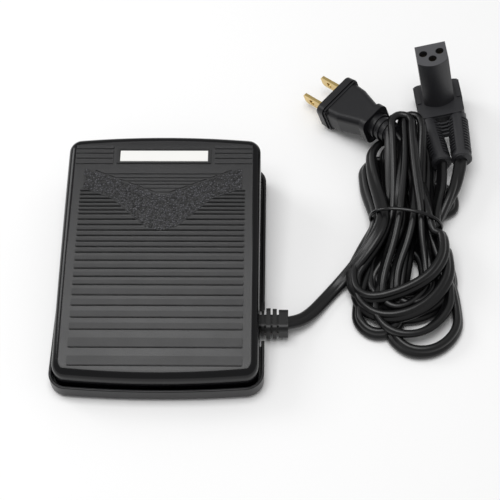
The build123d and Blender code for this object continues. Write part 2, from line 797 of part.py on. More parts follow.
with BuildPart() as connector_local:
    with BuildSketch(Plane.XY.offset(-block_depth)):
        with Locations((0, (block_back - block_front) / 2)):
            RectangleRounded(2 * block_half_width, block_back + block_front, 2.5)
    extrude(amount=block_depth)
    with BuildSketch():
        with BuildLine():
            Polyline((-nose_half_width, -nose_side), (-nose_half_width, nose_back), (nose_half_width, nose_back),
                     (nose_half_width, -nose_side))
            ThreePointArc((nose_half_width, -nose_side), (0, -nose_front), (-nose_half_width, -nose_side))
        make_face()
    extrude(amount=nose_length)
    for side in (-1, 1):
        with BuildSketch(Plane(origin=(side * tail_start[0], tail_start[1], tail_z), z_dir=(0, -1, 0))):
            Ellipse(4.4, 4.4)
        with BuildSketch(Plane(origin=(side * tail_end[0], tail_end[1], tail_z), z_dir=(0, -1, 0))):
            Ellipse(4.4, 4.0)
        loft()
    for place in socket_places:
        with BuildSketch(Plane.XY.offset(nose_length)):
            with Locations(place):
                Circle(socket_radius)
        extrude(amount=-22, mode=Mode.SUBTRACT)

connector_body = connector_local.part.moved(connector_frame.location)
connector_body.label = "connector_body"
export_step(connector_body, "parts/connector_body.step")

with BuildPart() as contacts_local:
    with BuildSketch(Plane.XY.offset(nose_length - 22)):
        with Locations(*socket_places):
            Circle(socket_radius)
            Circle(socket_radius - 0.35, mode=Mode.SUBTRACT)
    extrude(amount=18)

connector_contacts = contacts_local.part.moved(connector_frame.location)
connector_contacts.label = "connector_contacts"
export_step(connector_contacts, "parts/connector_contacts.step")


def tail_mouth(side):
    """Centre of a tail's open end, in the pedal's frame."""
    return tuple(connector_frame.from_local_coords(Vector(side * tail_end[0], tail_end[1], tail_z)))


for name, side, middle, end in (("pedal_lead_end", -1, (130.0, 49.0, 7.6), (126.5, 38.0, 7.2)),
                                ("mains_lead_end", 1, (135.4, 48.0, 7.4), (129.2, 34.0, 7.2))):
    cord_tube(name, [tail_mouth(side), middle, end])

# ---------------------------------------------------------------- mains plug

# Local frame: X runs from the face towards the cord, Y across, Z up
plug_frame = Plane(origin=(80.4, 99.5, 10.2), x_dir=(0.669, -0.712, 0.214), z_dir=(-0.3, 0.005, 0.954))
plug_sections = [(0.0, 24.4, 15.0), (4.0, 24.8, 15.4), (4.4, 22.4, 13.8), (12.0, 21.0, 13.4), (24.8, 13.6, 12.4)]
collar = (24.8, 28.0, 16.4, 15.2)
boot_end_x = 40.0
blade_spacing = 12.7
blade_length = 16.0
blade_size = (6.35, 1.5)

with BuildPart() as plug_local:
    for low, high in ((0, 1), (2, 3), (3, 4)):
        for x, width, height in (plug_sections[low], plug_sections[high]):
            with BuildSketch(Plane.YZ.offset(x)):
                RectangleRounded(width, height, 3.2)
        loft()
    with BuildSketch(Plane.YZ.offset(plug_sections[1][0])):
        RectangleRounded(22.4, 13.8, 3.2)
    extrude(amount=0.4)
    with BuildSketch(Plane.YZ.offset(collar[0])):
        RectangleRounded(collar[2], collar[3], 4.0)
    extrude(amount=collar[1] - collar[0])
    with BuildSketch(Plane.YZ.offset(collar[1])):
        Circle(5.9)
    with BuildSketch(Plane.YZ.offset(boot_end_x)):
        Circle(4.6)
    loft()

plug_body = plug_local.part.moved(plug_frame.location)
plug_body.label = "plug_body"
export_step(plug_body, "parts/plug_body.step")

with BuildPart() as blades_local:
    for side in (-1, 1):
        with Locations((-blade_length / 2, side * blade_spacing / 2, 0)):
            Box(blade_length, blade_size[1], blade_size[0])
        with Locations((-blade_length * 0.66, side * blade_spacing / 2, 0)):
            Cylinder(1.6, 3, rotation=(90, 0, 0), mode=Mode.SUBTRACT)
    chamfer(blades_local.faces().group_by(Axis.X)[0].edges().filter_by(Axis.Y), 1.2)

plug_blades = blades_local.part.moved(plug_frame.location)
plug_blades.label = "plug_blades"
export_step(plug_blades, "parts/plug_blades.step")
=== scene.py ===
# %% [markdown]
# # A sewing machine's foot control
# The object is a hinged, ribbed cover on a low tray, with two flat cords tied in a hank, a mains plug
# and a right-angled machine connector. The mechanical parts arrive from the CAD frame.
# Blender adds what is soft or finely textured, and every finish.

# %% Load the frame
import math
import random

import bmesh
import bpy
from mathutils import Matrix, Vector


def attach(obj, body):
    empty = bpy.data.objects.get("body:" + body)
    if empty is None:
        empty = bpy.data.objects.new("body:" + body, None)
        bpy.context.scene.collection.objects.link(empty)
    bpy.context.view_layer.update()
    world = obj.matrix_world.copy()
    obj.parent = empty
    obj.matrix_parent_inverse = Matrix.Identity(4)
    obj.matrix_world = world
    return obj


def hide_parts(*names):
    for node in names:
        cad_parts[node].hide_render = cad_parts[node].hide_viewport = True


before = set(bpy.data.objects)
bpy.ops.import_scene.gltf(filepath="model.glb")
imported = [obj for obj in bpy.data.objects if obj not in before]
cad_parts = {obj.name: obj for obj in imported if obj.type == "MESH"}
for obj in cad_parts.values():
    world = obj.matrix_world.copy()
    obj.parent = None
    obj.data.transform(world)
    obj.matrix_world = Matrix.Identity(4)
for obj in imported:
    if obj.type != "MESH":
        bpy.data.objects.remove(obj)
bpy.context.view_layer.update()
MM = 0.001

# %% [markdown]
# ## Camera, floor and light
# The view is from above the near end, with a long lens, on a white sweep. A wide overhead softbox
# gives the flat top its even sheen, and a weaker one stands behind on the left. The white
# surroundings give every rounded edge a pale line.

# %% Camera
camera_data = bpy.data.cameras.new("camera")
camera = bpy.data.objects.new("camera", camera_data)
bpy.context.scene.collection.objects.link(camera)
bpy.context.scene.camera = camera
pitch, yaw, roll = (math.radians(angle) for angle in (55.539, 2.426, -1.839))
forward = Vector((-math.sin(yaw) * math.cos(pitch), math.cos(yaw) * math.cos(pitch), -math.sin(pitch)))
level_right = Vector((math.cos(yaw), math.sin(yaw), 0))
level_up = level_right.cross(forward)
right = level_right * math.cos(roll) + level_up * math.sin(roll)
up = level_up * math.cos(roll) - level_right * math.sin(roll)
camera.matrix_world = Matrix((right, up, -forward)).transposed().to_4x4()
camera.location = Vector((53.15, -315.69, 486.07)) * MM
camera_data.sensor_width = 36
camera_data.lens = 91.61
camera_data.clip_start = 0.01

# %% A helper for node trees
def add_node(tree, kind, settings=(), **inputs):
    """Adds a node. settings are its own properties; inputs are values, or sockets to link from."""
    node = tree.nodes.new(kind)
    for name, value in dict(settings).items():
        setattr(node, name, value)
    for name, value in inputs.items():
        socket = node.inputs[int(name[1:])] if name[1:].isdigit() else node.inputs[name.replace("_", " ")]
        if isinstance(value, bpy.types.NodeSocket):
            tree.links.new(value, socket)
        else:
            socket.default_value = value
    return node


def linear(hex_colour):
    """An sRGB hex value as linear RGBA."""
    channels = [int(hex_colour[i:i + 2], 16) / 255 for i in (1, 3, 5)]
    return tuple(c / 12.92 if c <= 0.04045 else ((c + 0.055) / 1.055) ** 2.4 for c in channels) + (1.0,)


# %% Floor, world and softboxes
def plain_material(name, hex_colour, roughness):
    """A plain matt finish, for the stage only."""
    material = bpy.data.materials.new(name)
    material.use_nodes = True
    shader = material.node_tree.nodes["Principled BSDF"]
    shader.inputs["Base Color"].default_value = linear(hex_colour)
    shader.inputs["Roughness"].default_value = roughness
    return material


floor_mesh = bpy.data.meshes.new("floor")
floor_half = 3.0
floor_mesh.from_pydata([(x * floor_half, y * floor_half, 0) for x, y in ((-1, -1), (1, -1), (1, 1), (-1, 1))],
                       [], [(0, 1, 2, 3)])
floor = bpy.data.objects.new("floor", floor_mesh)
bpy.context.scene.collection.objects.link(floor)
floor_mesh.materials.append(plain_material("white_sweep", "#FBFBFB", 0.9))

world = bpy.data.worlds.new("white_studio")
world.use_nodes = True
world.node_tree.nodes["Background"].inputs["Color"].default_value = (1, 1, 1, 1)
world.node_tree.nodes["Background"].inputs["Strength"].default_value = 0.42
bpy.context.scene.world = world


def softbox(name, place, target, size, power):
    """A square area light at place, in metres, facing target."""
    light_data = bpy.data.lights.new(name, "AREA")
    light_data.size = size
    light_data.energy = power
    light = bpy.data.objects.new(name, light_data)
    bpy.context.scene.collection.objects.link(light)
    light.location = place
    light.rotation_mode = "QUATERNION"
    light.rotation_quaternion = (Vector(target) - Vector(place)).to_track_quat("-Z", "Y")


softbox("overhead", (-0.1, 0.0, 1.0), (0, 0, 0), size=0.7, power=6.2)
softbox("side", (-0.9, 0.5, 0.7), (0.05, 0, 0), size=0.5, power=3)
bpy.context.scene.view_settings.view_transform = "Standard"

# %% [markdown]
# ## Finishes
# The polished shoulders are painted darker, as painted shade, and the taller pebbles paler, as painted glints.
# Nearly everything here is black, so the finishes differ mostly in gloss and grain.
# The pedal is ABS moulded in a spark-eroded tool: a fine even grain that breaks up its highlights.
# The cords are soft PVC, smoother and slightly shiny. The plug is firmer PVC, more matt.

# %% Moulded plastics
def moulded(name, hex_colour, roughness, grain, depth, mottle=0.12, specular=0.5):
    """Moulded plastic. grain is the texture's size and depth its height, both in mm."""
    material = bpy.data.materials.new(name)
    material.use_nodes = True
    tree = material.node_tree
    shader = tree.nodes["Principled BSDF"]
    place = add_node(tree, "ShaderNodeTexCoord").outputs["Object"]
    fine = add_node(tree, "ShaderNodeTexNoise", Vector=place, Scale=1 / (grain * MM), Detail=2.0)
    broad = add_node(tree, "ShaderNodeTexNoise", Vector=place, Scale=1 / (9 * MM), Detail=3.0)
    bump = add_node(tree, "ShaderNodeBump", Height=fine.outputs[0],
                    Distance=depth * MM, Strength=0.6)
    base = linear(hex_colour)
    tone = add_node(tree, "ShaderNodeMapRange", Value=broad.outputs[0],
                    To_Min=1 - mottle, To_Max=1 + mottle)
    colour = add_node(tree, "ShaderNodeVectorMath", {"operation": "SCALE"}, Vector=base[:3],
                      Scale=tone.outputs[0])
    gloss = add_node(tree, "ShaderNodeMapRange", Value=broad.outputs[0],
                     To_Min=roughness - 0.05, To_Max=roughness + 0.05)
    tree.links.new(colour.outputs[0], shader.inputs["Base Color"])
    tree.links.new(gloss.outputs[0], shader.inputs["Roughness"])
    tree.links.new(bump.outputs[0], shader.inputs["Normal"])
    shader.inputs["Specular IOR Level"].default_value = specular
    return material


grained_abs = moulded("grained_black_abs", "#151517", 0.36, 0.45, 0.12, specular=0.5)
# Polished finish for the shoulders and walls; its darker colour and weaker specular are painted shade.
polished_painted_shade_abs = moulded("polished_black_abs_painted_shade", "#060608", 0.16, 0.9, 0.01, specular=0.32)
tread_abs = moulded("tread_black_abs", "#101012", 0.4, 0.45, 0.12, specular=0.42)
tray_abs = moulded("tray_black_abs", "#0E0E10", 0.32, 0.45, 0.08, specular=0.4)
cord_pvc = moulded("flat_cord_pvc", "#0C0C0D", 0.3, 1.2, 0.05, specular=0.42)
plug_pvc = moulded("moulded_plug_pvc", "#121215", 0.4, 0.5, 0.08, specular=0.4)
connector_pvc = moulded("moulded_connector_pvc", "#232326", 0.46, 0.5, 0.08, specular=0.55)
socket_face_pvc = moulded("socket_face_pvc", "#454548", 0.6, 0.6, 0.2)
bush_rubber = moulded("bush_rubber", "#0B0B0C", 0.4, 0.6, 0.06, specular=0.4)
tie_nylon = moulded("tie_nylon", "#08080A", 0.22, 2.0, 0.01)
label_white = moulded("blank_label", "#EDEDEA", 0.45, 0.8, 0.01, mottle=0.02)
nylon_natural = moulded("natural_nylon", "#DCD9CF", 0.4, 0.8, 0.02, mottle=0.04)
laminate = moulded("green_laminate", "#2F6B3C", 0.35, 0.6, 0.02)
ferrite = moulded("ferrite", "#3A3A3D", 0.6, 0.3, 0.04)
film_box = moulded("film_capacitor_box", "#C8A83A", 0.3, 1.0, 0.01)
lacquer = moulded("resistor_lacquer", "#B59468", 0.25, 1.0, 0.01)
trimmer_blue = moulded("trimmer_blue", "#2F5DA0", 0.35, 1.0, 0.01)
terminal_pa = moulded("terminal_polyamide", "#2E7D4A", 0.4, 1.0, 0.01)


# %% Metals and glass
def metal(name, hex_colour, roughness, grain):
    """Bare metal with fine drawn lines along X, grain mm apart."""
    material = bpy.data.materials.new(name)
    material.use_nodes = True
    tree = material.node_tree
    shader = tree.nodes["Principled BSDF"]
    place = add_node(tree, "ShaderNodeTexCoord").outputs["Object"]
    stretched = add_node(tree, "ShaderNodeMapping", Vector=place, Scale=(0.1, 1, 1))
    lines = add_node(tree, "ShaderNodeTexNoise", Vector=stretched.outputs[0], Scale=1 / (grain * MM))
    gloss = add_node(tree, "ShaderNodeMapRange", Value=lines.outputs[0],
                     To_Min=roughness - 0.08, To_Max=roughness + 0.08)
    bump = add_node(tree, "ShaderNodeBump", Height=lines.outputs[0], Distance=0.01 * MM, Strength=0.4)
    tree.links.new(gloss.outputs[0], shader.inputs["Roughness"])
    tree.links.new(bump.outputs[0], shader.inputs["Normal"])
    shader.inputs["Base Color"].default_value = linear(hex_colour)
    shader.inputs["Metallic"].default_value = 1.0
    return material


brass = metal("stamped_brass", "#D9BE7E", 0.28, 0.4)
zinc_steel = metal("zinc_plated_steel", "#B9BBBD", 0.3, 0.5)
plain_aluminium = metal("plain_aluminium", "#C4C6C8", 0.4, 0.4)
enamelled_copper = metal("enamelled_copper", "#B8683A", 0.3, 0.5)

fuse_glass = bpy.data.materials.new("fuse_glass")
fuse_glass.use_nodes = True
fuse_shader = fuse_glass.node_tree.nodes["Principled BSDF"]
fuse_shader.inputs["Base Color"].default_value = linear("#E8F0EE")
fuse_shader.inputs["Roughness"].default_value = 0.05
fuse_shader.inputs["Transmission Weight"].default_value = 0.85

# %% Give the CAD nodes their finishes
node_finishes = {
    tray_abs: ["base_tray", "cord_clamp"],
    bush_rubber: ["rubber_feet", "stop_bumpers", "strain_relief", "lead_wires", "triac", "resistor_card"],
    zinc_steel: ["hinge_shaft", "hinge_clips", "return_spring_left", "return_spring_right", "limit_screws",
                 "board_screws", "triac_screw", "terminal_screws", "clamp_screws", "plunger_spring"],
    laminate: ["circuit_board"],
    plain_aluminium: ["heat_sink"],
    ferrite: ["choke_core"],
    enamelled_copper: ["choke_winding"],
    film_box: ["suppression_capacitor", "timing_capacitor"],
    lacquer: ["resistors"],
    trimmer_blue: ["trimmer"],
    fuse_glass: ["fuse"],
    terminal_pa: ["terminal_block"],
    nylon_natural: ["wiper_guide", "wiper_plunger"],
    brass: ["wiper_contact", "connector_contacts", "plug_blades"],
    label_white: ["name_plate"],
    plug_pvc: ["plug_body"],
    connector_pvc: ["connector_body"],
}
for finish, node_names in node_finishes.items():
    for node_name in node_names:
        for material_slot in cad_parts[node_name].material_slots:
            material_slot.material = finish


# %% [markdown]
# ## The cords
# Both cords are flat twin flex, 6.2 mm wide and 3.6 mm thick, with a groove along the middle.
# A flat cord bends easily only across its thickness. So it lies flat where it is free on the floor,
# and in the hank it turns towards its edge: about half way in the loops, and nearly all the way at
# the tie. Its centreline is one NURBS spline, and a two-lobed section is carried along that line.

# %% Centrelines as NURBS splines
path_step = 1.8 * MM


def centreline(name, points):
    """A smooth line through the route's points, read back as evenly spaced points in metres."""
    curve = bpy.data.curves.new(name, "CURVE")
    curve.dimensions = "3D"
    curve.resolution_u = 6
    spline = curve.splines.new("NURBS")
    spline.points.add(len(points) - 1)
    for spline_point, place in zip(spline.points, points):
        spline_point.co = (*place, 1)
    spline.order_u = 3
    spline.use_endpoint_u = True
    holder = bpy.data.objects.new(name, curve)
    bpy.context.scene.collection.objects.link(holder)
    line = bpy.data.meshes.new_from_object(holder.evaluated_get(bpy.context.evaluated_depsgraph_get()))
    path = [vertex.co.copy() for vertex in line.vertices]
    bpy.data.objects.remove(holder)
    return evenly(path, path_step)


def evenly(path, step):
    """Points step apart along a polyline, with its own two ends."""
    lengths = [0.0]
    for before, after in zip(path, path[1:]):
        lengths.append(lengths[-1] + (after - before).length)
    count = max(2, round(lengths[-1] / step))
    spaced, piece = [], 0
    for index in range(count + 1):
        distance = lengths[-1] * index / count
        while piece < len(path) - 2 and lengths[piece + 1] < distance:
            piece += 1
        run = lengths[piece + 1] - lengths[piece] or 1
        spaced.append(path[piece].lerp(path[piece + 1], (distance - lengths[piece]) / run))
    return spaced


# %% The flat twin section
cord_width, cord_thickness = 6.2 * MM, 3.6 * MM
lobe_radius = cord_thickness / 2
lobe_place = cord_width / 2 - lobe_radius
lobe_points = 9


def twin_section():
    """Points (across, through) round two lobes that meet in a shallow groove."""
    section = []
    for side in (1, -1):
        for index in range(lobe_points):
            angle = math.radians(-135 + 270 * index / (lobe_points - 1))
            across = lobe_place + lobe_radius * math.cos(angle)
            section.append((side * across, side * lobe_radius * math.sin(angle)))
    return section


def join_rings(mesh, ring, following):
    """Faces all round between two rings of vertices."""
    for index in range(len(ring)):
        after = (index + 1) % len(ring)
        mesh.faces.new((ring[index], ring[after], following[after], following[index]))


tie_y, tie_reach = 26.5, 11
slack_turn, tied_turn = math.radians(50), math.radians(85)
turning = 28 * MM
sway, sway_run = 0.25, 17 * MM


def flat_cord(name, path, edge_after, material):
    """The cord's mesh. It lies flat up to the distance edge_after, and then turns towards its edge."""
    section = twin_section()
    mesh = bmesh.new()
    rings, distance, across = [], 0.0, None
    for index, place in enumerate(path):
        ahead = (path[min(index + 1, len(path) - 1)] - path[max(index - 1, 0)]).normalized()
        if index:
            distance += (place - path[index - 1]).length
        level = ahead.cross(Vector((0, 0, 1)))
        level = level.normalized() if level.length > 0.2 else across
        across = level
        on_edge = min(1, max(0, (distance - edge_after) / turning))
        on_edge = on_edge * on_edge * (3 - 2 * on_edge)
        tightness = math.exp(-((place.y / MM - tie_y) / tie_reach) ** 2)
        swing = slack_turn + (tied_turn - slack_turn) * tightness + sway * math.sin(distance / sway_run)
        turned = Matrix.Rotation(-on_edge * swing, 3, ahead) @ level
        through = ahead.cross(turned)
        rings.append([mesh.verts.new(place + turned * a + through * t) for a, t in section])
    for ring, following in zip(rings, rings[1:]):
        join_rings(mesh, ring, following)
    mesh.faces.new(list(reversed(rings[0])))
    mesh.faces.new(rings[-1])
    return piece_from(mesh, name, material)


def piece_from(mesh, name, material):
    """A finished object at the origin from a bmesh, with faces pointing outwards."""
    bmesh.ops.recalc_face_normals(mesh, faces=mesh.faces)
    for face in mesh.faces:
        face.smooth = True
    data = bpy.data.meshes.new(name)
    mesh.to_mesh(data)
    mesh.free()
    data.materials.append(material)
    piece = bpy.data.objects.new(name, data)
    bpy.context.scene.collection.objects.link(piece)
    return piece


# %% [markdown]
# ## The hank
# Both cords are folded to and fro and tied once near the middle. Each strand passes through the tie in
# its own lane, three layers deep. Beyond the tie a strand swings out, goes round an end loop and
# comes back. A loop is given by its two sides, its far end and its height, so a short list of
# loops describes a hank that somebody folded by hand, and a small seeded shift keeps it from looking
# ruled. The lanes lie a little closer together than the cord is thick. The loops are placed one by one,
# with nothing to hold them apart, so many strands pass through each other in the loops.

# %% Lanes through the tie
lane_pitch = 3.4
lane_left = 97.0
layer_height, lowest_layer = 5.7, 3.3
near_across, near_along, near_up = 0.32, 0.22, 0.3
wide_across, wide_along, wide_down = 0.84, 0.66, 0.25
shoulder_share, out_share, bend_share = 0.42, 1.3, 0.586
level_shift, height_shift = 0.5, 0.2
random.seed(7)


def lane(column, layer):
    """Where a strand passes the tie, in mm."""
    return Vector((lane_left + lane_pitch * column, tie_y, lowest_layer + layer_height * layer))


def end_loop(start, end, left, right, far, height, lean=0.0, tilt=0.0):
    """Points from lane start, round an end loop, to lane end, without the lanes' own points.

    lean moves the loop's right side along Y and its left side the other way, by that many mm.
    tilt does the same with its height."""
    direction = 1 if far > tie_y else -1
    depth = abs(far - tie_y)
    sides = (left, right) if start.x < end.x else (right, left)
    middle, half = (left + right) / 2, (right - left) / 2
    shoulder = min(half, shoulder_share * depth)

    def place(x, y):
        return Vector((x, y + lean * (x - middle) / half, height + tilt * (x - middle) / half))

    points = []
    for lane_point, side, leaving in ((start, sides[0], True), (end, sides[1], False)):
        outward, drop = side - lane_point.x, height - lane_point.z
        near = Vector((lane_point.x + outward * near_across, tie_y + direction * depth * near_along,
                       lane_point.z + drop * near_up))
        wide = place(lane_point.x + outward * wide_across,
                     tie_y + direction * (depth - shoulder) * wide_along)
        wide.z += (lane_point.z - wide.z) * wide_down
        out = place(side, far - direction * shoulder * out_share)
        bend = place(side, far - direction * shoulder * bend_share)
        turn = place(side + (middle - side) * bend_share * shoulder / half, far)
        run = [near, wide, out, bend, turn]
        points.append(run if leaving else run[::-1])
    route = points[0] + points[1]
    shifts = (level_shift, level_shift, height_shift)
    return [point + Vector([random.uniform(-shift, shift) for shift in shifts]) for point in route]


def fold(lanes, loops):
    """All the points through the given lanes, with one end loop between each lane and the next."""
    points = []
    for index, here in enumerate(lanes):
        points.append(here)
        if index < len(loops):
            points += end_loop(here, lanes[index + 1], *loops[index])
    return points


# %% Where the cords end
def frame_at(place, along, up):
    """The matrix of a local frame at place, in mm, from its X and Z directions."""
    along, up = Vector(along), Vector(up)
    axes = Matrix((along.normalized(), up.cross(along).normalized(), up.normalized()))
    return Matrix.Translation(Vector(place) * MM) @ axes.transposed().to_4x4()


connector_matrix = frame_at((130.2, 101.0, 12.6), along=(0.976, 0.091, 0.198), up=(-0.202, 0.039, 0.979))
plug_matrix = frame_at((80.4, 99.5, 10.2), along=(0.669, -0.712, 0.214), up=(-0.3, 0.005, 0.954))
tail_tip_x, tail_z, mouth_y, boot_length = 4.7, -4.6, -38.0, 36.0
left_mouth, right_mouth = (connector_matrix @ (Vector((side * tail_tip_x, mouth_y, tail_z)) * MM) / MM
                           for side in (-1, 1))
boot_end = plug_matrix @ (Vector((boot_length, 0, 0)) * MM) / MM

# %% The pedal's cord
pedal_free = [Vector(point) for point in (
    (54.0, -26.0, 6.3), (60.5, -24.6, 5.4), (66.5, -19.5, 3.2), (73.0, -11.0, 2.0), (79.8, -2.5, 2.0),
    (86.3, 3.2, 7.5), (92.3, 9.5, 12.5), (97.8, 17.5, 15.2))]
pedal_lanes = [lane(1, 2), lane(7, 2), lane(0, 1), lane(5, 1), lane(1, 0), lane(3, 0), lane(0, 0), lane(7, 0),
               lane(8, 1)]
pedal_loops = [(96.5, 118.0, 75.0, 10.0), (85.3, 126.5, -12.0, 10.5, 7.0, 3.8), (92.5, 110.0, 67.0, 4.0),
               (87.3, 107.0, -29.0, 3.3), (99.0, 112.0, 70.0, 3.3), (93.0, 118.0, -12.0, 3.3, 3.0),
               (101.0, 126.0, 73.0, 3.6), (96.0, 127.5, -30.0, 5.5, 3.5)]
pedal_tail = [Vector((126.0, 38.0, 9.0)), Vector((129.0, 48.0, 10.5)), left_mouth.copy()]
pedal_path = centreline("pedal_cord_line", [point * MM for point in
                                            pedal_free + fold(pedal_lanes, pedal_loops) + pedal_tail])

# %% The mains cord
mains_start = [right_mouth.copy(), Vector((136.0, 49.0, 11.0)), Vector((131.0, 38.0, 10.0))]
mains_lanes = [lane(8, 0), lane(2, 1), lane(6, 2), lane(3, 2), lane(6, 0), lane(2, 0), lane(7, 1), lane(4, 0),
               lane(5, 0), lane(4, 1), lane(6, 1), lane(5, 2)]
mains_loops = [(87.0, 128.5, -21.5, 7.5, 5.5, 2.0), (104.5, 115.5, 80.0, 22.0), (98.0, 120.0, -17.0, 6.0, 4.0),
               (111.0, 120.0, 82.0, 20.0), (96.0, 128.0, -12.0, 3.3, 3.0), (103.0, 124.0, 76.0, 7.5),
               (101.5, 132.0, -38.0, 3.3, 2.5), (105.0, 134.5, 55.0, 3.3), (94.0, 130.5, -21.0, 3.3, 3.0),
               (107.0, 120.5, 78.0, 7.0), (104.0, 122.0, -16.0, 6.0, 2.0)]
mains_end = [Vector((114.5, 40.0, 13.5)), Vector((115.5, 52.0, 14.0)), Vector((113.0, 62.5, 17.0)),
             boot_end.copy()]
mains_path = centreline("mains_cord_line", [point * MM for point in
                                            mains_start + fold(mains_lanes, mains_loops) + mains_end])


def path_length(path):
    return sum((after - before).length for before, after in zip(path, path[1:]))


for cord, path in (("pedal cord", pedal_path), ("mains cord", mains_path)):
    print(cord, round(path_length(path), 3), "m")

free_length = 85 * MM
pedal_flex = flat_cord("pedal_flex", pedal_path, free_length, cord_pvc)
mains_flex = flat_cord("mains_flex", mains_path, 0, cord_pvc)
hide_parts("pedal_cord", "pedal_lead_end", "cord_hank")
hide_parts("mains_lead_end")
for flex in (pedal_flex, mains_flex):
    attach(flex, "base")

# %% [markdown]
# ## The tie
# One thin black tie goes round the whole bundle. It is a closed loop, close to an ellipse, and it
# slants a little across the strands.

# %% Tie
tie_radius, tie_flatness, tie_corners = 0.75, 1.3, 8
tie_half, tie_bottom, tie_top = 16.2, 0.9, 20.3
tie_shift, tie_slant, tie_squareness = 0.5, 3.0, 0.9
tie_steps, middle_column = 44, 4


def tie_loop():
    """Points round the bundle, in mm, across it and up."""
    centre = lane_left + lane_pitch * middle_column
    points = []
    for index in range(tie_steps):
        angle = 2 * math.pi * index / tie_steps
        across = math.copysign(abs(math.cos(angle)) ** tie_squareness, math.cos(angle))
        points.append(Vector((centre + tie_half * across, tie_y - tie_shift - tie_slant * across,
                              (tie_top + tie_bottom) / 2 + (tie_top - tie_bottom) / 2 * math.sin(angle))))
    return points


tie_mesh = bmesh.new()
tie_points = tie_loop()
tie_rings = []
for index, place in enumerate(tie_points):
    ahead = (tie_points[(index + 1) % len(tie_points)] - tie_points[index - 1]).normalized()
    outward = ahead.cross(Vector((0, 1, 0))).normalized()
    ring = []
    for corner in range(tie_corners):
        angle = 2 * math.pi * corner / tie_corners
        ring.append(tie_mesh.verts.new((place + outward * tie_radius * math.cos(angle)
                                        + Vector((0, 1, 0)) * tie_radius * tie_flatness
                                        * math.sin(angle)) * MM))
    tie_rings.append(ring)
for index, ring in enumerate(tie_rings):
    join_rings(tie_mesh, ring, tie_rings[(index + 1) % len(tie_rings)])
bundle_tie = piece_from(tie_mesh, "bundle_tie", tie_nylon)
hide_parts("cable_tie")
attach(bundle_tie, "base")

# %% [markdown]
# ## Detail on the connector and the plug
# The connector's two tails flex, so both sides of each carry fine ribs with a smooth spine between
# them, and ridges hang across the web. Its nose ends in a paler face with the three sockets.
# The plug gets a step on its flange and three rings round its boot.

# %% Blocks and ribs in a local frame
crisp_angle = math.radians(40)
ring_stop = 358


def rectangle(left, low, right, high):
    """A rectangle's four corners, as (x, y) in mm."""
    return [(left, low), (right, low), (right, high), (left, high)]


def add_block(mesh, matrix, low, high):
    """A box from low to high, in mm of the frame that matrix gives."""
    outline = rectangle(low[0], low[1], high[0], high[1])
    corners = [mesh.verts.new(matrix @ (Vector((x, y, z)) * MM))
               for z in (low[2], high[2]) for x, y in outline]
    for face in ((0, 1, 2, 3), (4, 5, 6, 7), (0, 1, 5, 4), (1, 2, 6, 5), (2, 3, 7, 6), (3, 0, 4, 7)):
        mesh.faces.new([corners[index] for index in face])


def add_band(mesh, matrix, centre, along, side, radii, half_width, start, stop):
    """Part of a ring between two radii, round the line through centre, from start to stop in degrees."""
    up = along.cross(side)
    steps = max(4, round(abs(stop - start) / 15))
    rings = []
    for index in range(steps + 1):
        angle = math.radians(start + (stop - start) * index / steps)
        outward = side * math.cos(angle) + up * math.sin(angle)
        rings.append([mesh.verts.new(matrix @ ((centre + outward * radius + along * shift) * MM))
                      for radius, shift in ((radii[0], -half_width), (radii[1], -half_width * 0.6),
                                            (radii[1], half_width * 0.6), (radii[0], half_width))])
    for ring, following in zip(rings, rings[1:]):
        join_rings(mesh, ring, following)
    mesh.faces.new(rings[0])
    mesh.faces.new(rings[-1])


def finish_detail(mesh, name, finish):
    """Finishes a detail of the connector or the plug, with crisp edges. Both ride on the base."""
    piece = piece_from(mesh, name, finish)
    piece.modifiers.new("hard_edges", "EDGE_SPLIT").split_angle = crisp_angle
    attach(piece, "base")


# %% Ribs on the tails and ridges across the web
tail_root_x, tail_root_y, tail_end_y = 7.0, -12.0, -40.0
rib_count, first_rib, rib_step = 12, 0.14, 0.062
rib_radii, rib_half, rib_arcs = (4.1, 5.0), 0.55, ((-60, 62), (118, 240))
collar_share, collar_radii, collar_half = 0.95, (4.0, 4.9), 1.3
ridge_count, ridge_steps, ridge_pitch, ridge_fall = 4, 6, 2.0, 0.3
web_y, web_z, web_half, web_sag = -14.6, -1.7, 5.2, 2.2
ridge_half, ridge_depth = 0.45, 2.4

ribbing = bmesh.new()
for side in (-1, 1):
    first = Vector((side * tail_root_x, tail_root_y, tail_z))
    last = Vector((side * tail_tip_x, tail_end_y, tail_z))
    along = (last - first).normalized()
    across = along.cross(Vector((0, 0, 1))).normalized()
    for index in range(rib_count):
        centre = first.lerp(last, first_rib + rib_step * index)
        for start, stop in rib_arcs:
            add_band(ribbing, connector_matrix, centre, along, across, rib_radii, rib_half, start, stop)
    collar = first.lerp(last, collar_share)
    add_band(ribbing, connector_matrix, collar, along, across, collar_radii, collar_half, 0, ring_stop)
for index in range(ridge_count):
    web = Vector((0, web_y - ridge_pitch * index, web_z - ridge_fall * index))
    for step in range(ridge_steps):
        low_x, high_x = (-web_half + 2 * web_half * (step + end) / ridge_steps for end in (0, 1))
        sag = -web_sag * (1 - ((low_x + high_x) / 2 / web_half) ** 2)
        add_block(ribbing, connector_matrix, (low_x, web.y + sag - ridge_half, web.z - ridge_depth),
                  (high_x, web.y + sag + ridge_half, web.z))
finish_detail(ribbing, "tail_ribs", connector_pvc)

# %% The connector's face and shoulders
nose_half, nose_top, nose_low = 7.3, 7.2, -4.2
chin, chin_steps, face_z = 3.2, 8, 28.45
socket_radius, socket_steps = 2.0, 20
socket_places = ((-3.9, 1.6), (3.9, 1.6), (0.0, -2.4))

